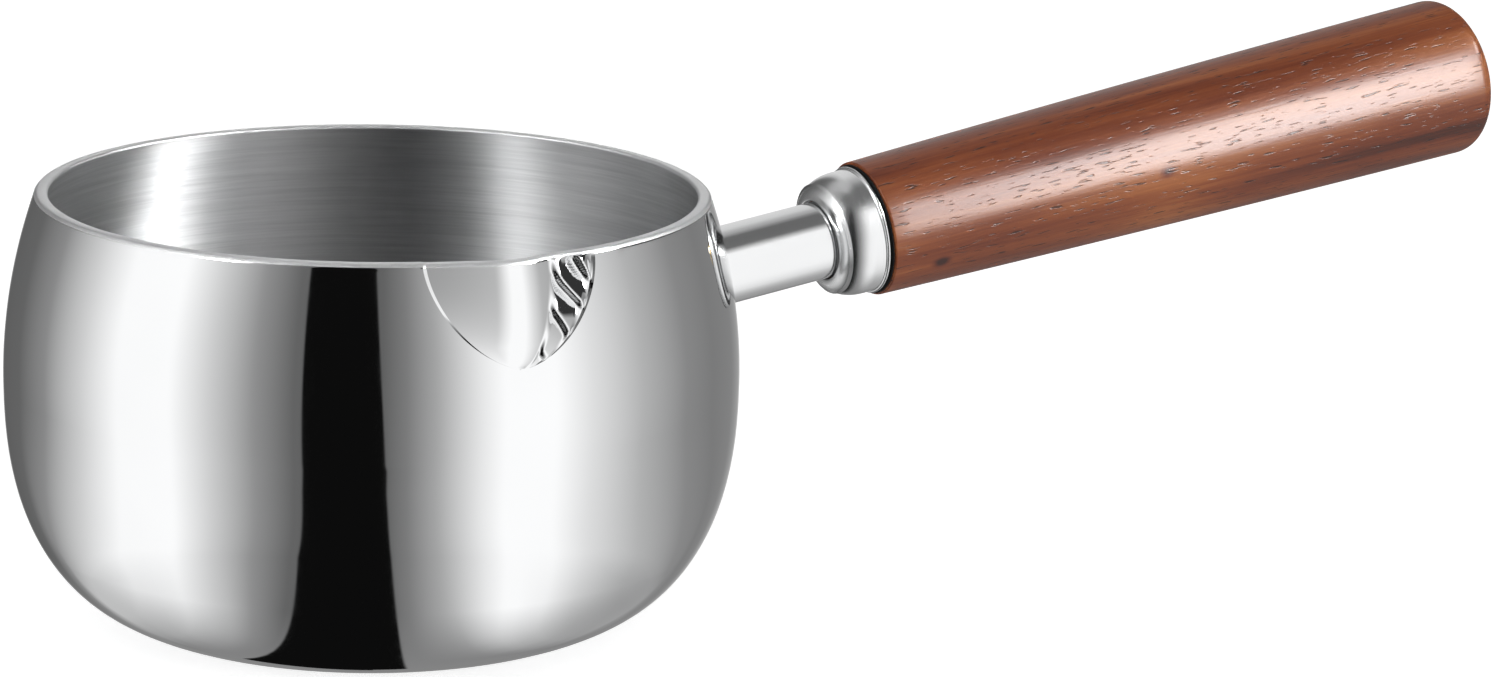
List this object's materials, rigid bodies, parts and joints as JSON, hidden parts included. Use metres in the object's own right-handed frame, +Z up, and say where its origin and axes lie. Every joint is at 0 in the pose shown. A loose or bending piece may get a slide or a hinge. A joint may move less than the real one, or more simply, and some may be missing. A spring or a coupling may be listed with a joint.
{
  "type": "butter warmer",
  "caption": "Small bellied stainless steel pot with a pressed pouring lip and a turned wooden handle on a welded steel tube, for melting butter and warming milk or sauce",
  "frame": {"origin": "centre of the flat base, on the surface that the pot stands on", "axes": "+Z up, +X along the handle, -Y through the pouring lip"},
  "size_m": [0.2535, 0.11, 0.082],
  "materials": {
    "polished_steel": "stainless steel, mirror polished outside and brushed round inside",
    "weld_steel": "dressed and polished weld",
    "satin_steel": "drawn stainless tube, satin polished",
    "ferrule_steel": "spun stainless cap, polished",
    "plain_steel": "zinc plated steel hardware",
    "brass": "turned brass",
    "black_rubber": "matt black heat resistant rubber",
    "wood": "oiled and polished reddish brown hardwood with dark grain"
  },
  "bodies": {
    "root": {"bowl": "polished_steel", "weld_bead": "weld_steel", "handle_tube": "satin_steel", "tube_plug": "plain_steel", "clamp_bolt": "plain_steel", "spring_washer": "plain_steel", "flat_washer": "plain_steel", "threaded_insert": "brass", "ferrule": "ferrule_steel", "seal_ring": "black_rubber", "grip": "wood"}
  },
  "joints": []
}
